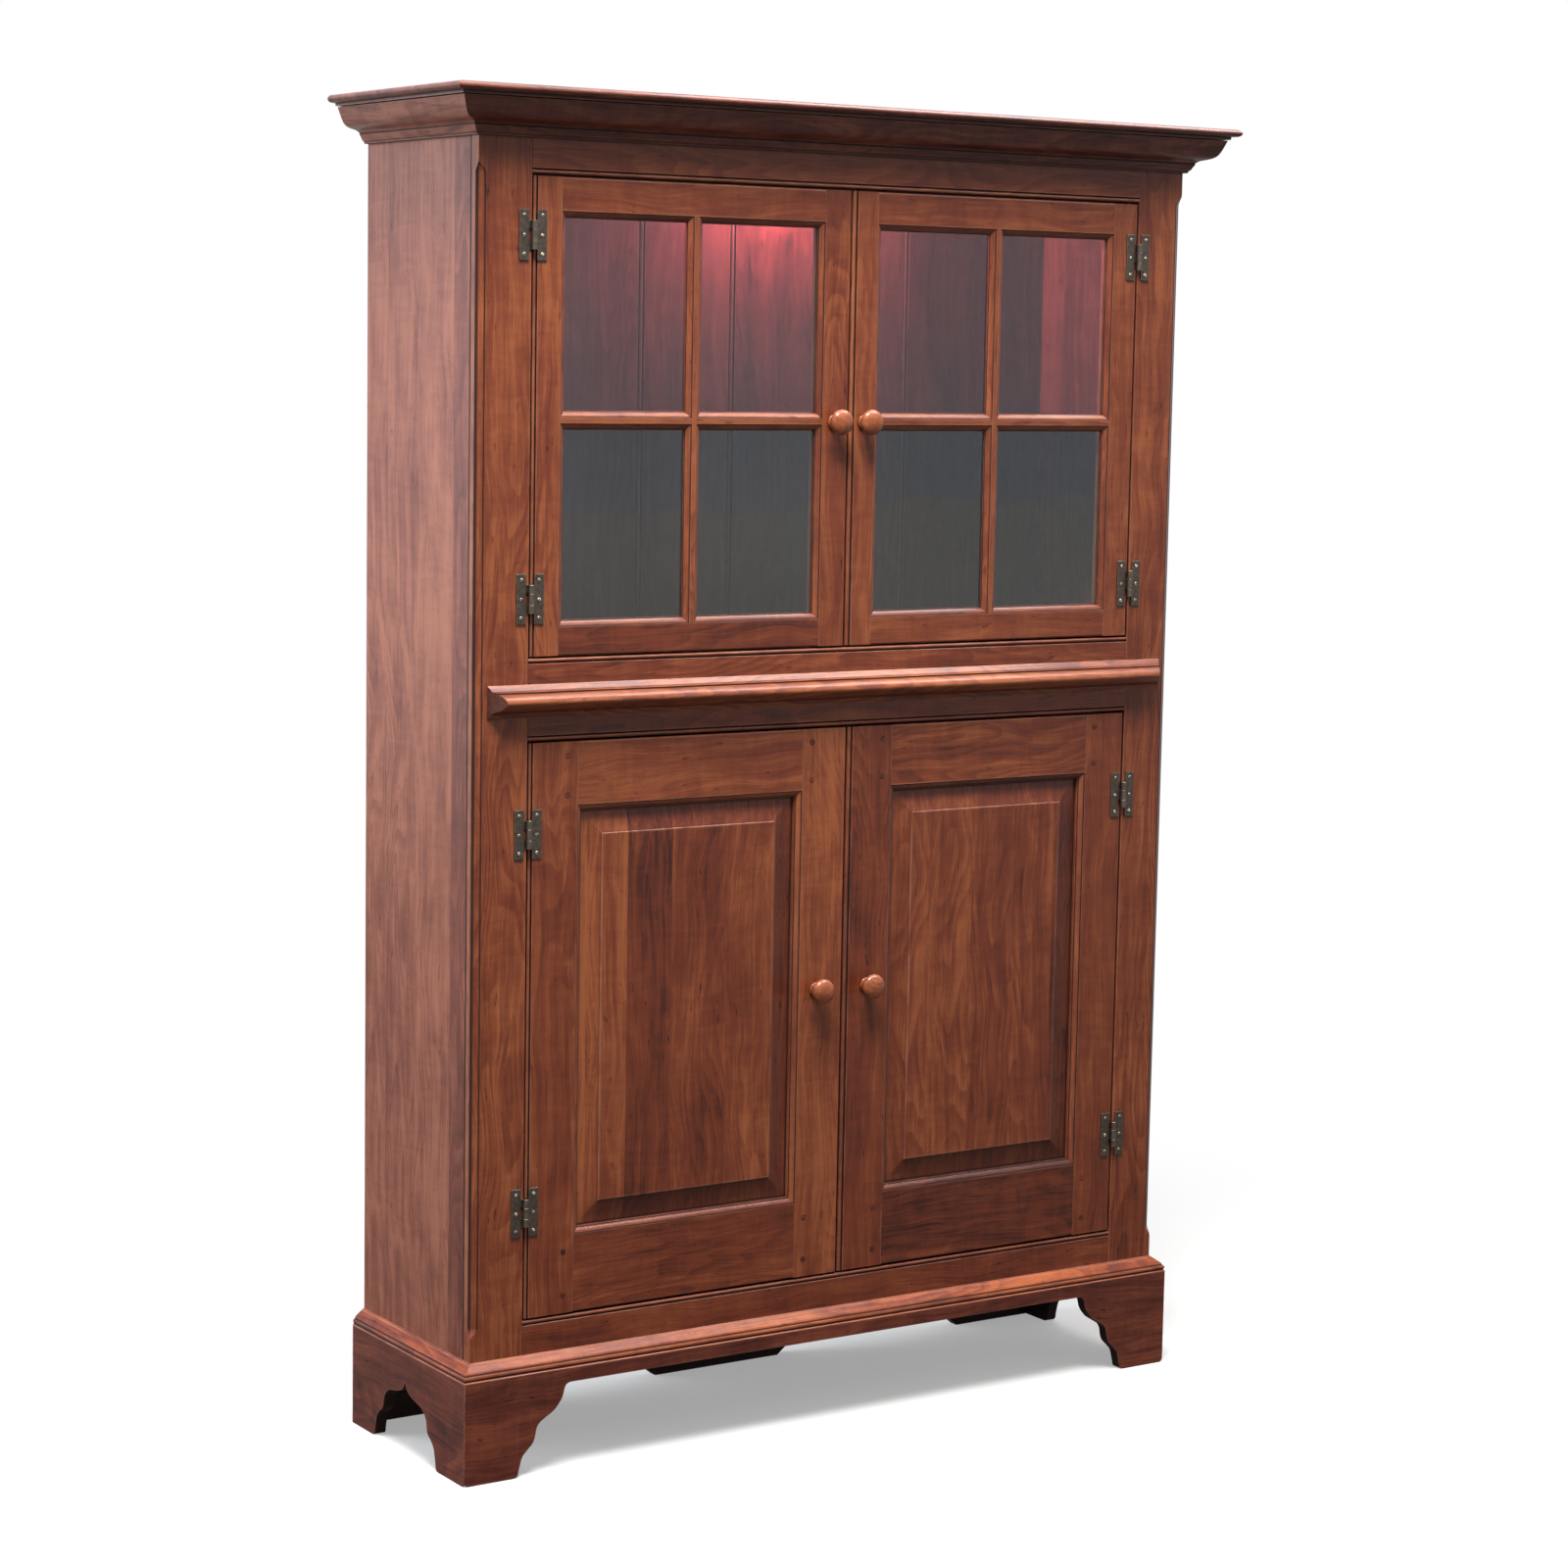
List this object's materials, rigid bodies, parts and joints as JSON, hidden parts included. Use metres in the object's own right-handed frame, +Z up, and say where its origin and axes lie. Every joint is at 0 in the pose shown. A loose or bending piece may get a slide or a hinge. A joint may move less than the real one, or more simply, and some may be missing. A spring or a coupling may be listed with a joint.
{
  "type": "kitchen cupboard",
  "caption": "Free-standing stained wood kitchen cupboard: glazed doors over panelled doors on surface hinges, crown and waist mouldings, shelves, scrolled bracket feet.",
  "frame": {"origin": "on the floor, at the middle of the footprint of the bounding box", "axes": "+Z up, -Y towards the side with the doors, +X to the right as seen from the doors' side"},
  "size_m": [1.483, 0.437, 2.134],
  "materials": {
    "case_wood": "reddish-brown stain, satin",
    "frame_wood": "reddish-brown stain, satin",
    "moulding_wood": "reddish-brown stain, satin, dark glaze in the recesses",
    "door_wood": "reddish-brown stain, satin",
    "knob_wood": "reddish-brown stain, polished by use",
    "inside_wood": "reddish-brown stain, matt",
    "base_wood": "dark reddish-brown stain, satin",
    "pane_glass": "clear, slightly wavy",
    "hinge_metal": "aged dark bronze"
  },
  "bodies": {
    "case": {"left_side": "case_wood", "right_side": "case_wood", "back_panel": "inside_wood", "deck": "inside_wood", "bottom_board": "inside_wood", "upper_shelf": "inside_wood", "lower_shelf": "inside_wood", "face_stile_left": "frame_wood", "face_stile_right": "frame_wood", "face_rail_top": "frame_wood", "face_rail_middle": "frame_wood", "face_rail_bottom": "frame_wood", "cornice": "moulding_wood", "waist_moulding": "moulding_wood", "base_front": "base_wood", "base_left": "base_wood", "base_right": "base_wood", "rear_skirt": "base_wood", "upper_left_upper_hinge_frame_leaf": "hinge_metal", "upper_left_lower_hinge_frame_leaf": "hinge_metal", "upper_right_upper_hinge_frame_leaf": "hinge_metal", "upper_right_lower_hinge_frame_leaf": "hinge_metal", "lower_left_upper_hinge_frame_leaf": "hinge_metal", "lower_left_lower_hinge_frame_leaf": "hinge_metal", "lower_right_upper_hinge_frame_leaf": "hinge_metal", "lower_right_lower_hinge_frame_leaf": "hinge_metal"},
    "upper_left_door": {"upper_left_hinge_stile": "door_wood", "upper_left_lock_stile": "door_wood", "upper_left_top_rail": "door_wood", "upper_left_bottom_rail": "door_wood", "upper_left_glazing_bars": "door_wood", "upper_left_glass": "pane_glass", "upper_left_knob": "knob_wood", "upper_left_upper_hinge_door_leaf": "hinge_metal", "upper_left_lower_hinge_door_leaf": "hinge_metal"},
    "upper_right_door": {"upper_right_hinge_stile": "door_wood", "upper_right_lock_stile": "door_wood", "upper_right_top_rail": "door_wood", "upper_right_bottom_rail": "door_wood", "upper_right_glazing_bars": "door_wood", "upper_right_glass": "pane_glass", "upper_right_knob": "knob_wood", "upper_right_upper_hinge_door_leaf": "hinge_metal", "upper_right_lower_hinge_door_leaf": "hinge_metal"},
    "lower_left_door": {"lower_left_hinge_stile": "door_wood", "lower_left_lock_stile": "door_wood", "lower_left_top_rail": "door_wood", "lower_left_bottom_rail": "door_wood", "lower_left_raised_panel": "door_wood", "lower_left_knob": "knob_wood", "lower_left_upper_hinge_door_leaf": "hinge_metal", "lower_left_lower_hinge_door_leaf": "hinge_metal"},
    "lower_right_door": {"lower_right_hinge_stile": "door_wood", "lower_right_lock_stile": "door_wood", "lower_right_top_rail": "door_wood", "lower_right_bottom_rail": "door_wood", "lower_right_raised_panel": "door_wood", "lower_right_knob": "knob_wood", "lower_right_upper_hinge_door_leaf": "hinge_metal", "lower_right_lower_hinge_door_leaf": "hinge_metal"}
  },
  "joints": [
    {"name": "upper_left_door_hinge", "type": "hinge", "parent": "case", "child": "upper_left_door", "pos_m": [-0.579, -0.1543, 1.642], "axis": [0, 0, -1], "range_deg": [0, 170]},
    {"name": "upper_right_door_hinge", "type": "hinge", "parent": "case", "child": "upper_right_door", "pos_m": [0.579, -0.1543, 1.642], "axis": [0, 0, 1], "range_deg": [0, 170]},
    {"name": "lower_left_door_hinge", "type": "hinge", "parent": "case", "child": "lower_left_door", "pos_m": [-0.579, -0.1543, 0.713], "axis": [0, 0, -1], "range_deg": [0, 170]},
    {"name": "lower_right_door_hinge", "type": "hinge", "parent": "case", "child": "lower_right_door", "pos_m": [0.579, -0.1543, 0.713], "axis": [0, 0, 1], "range_deg": [0, 170]}
  ]
}
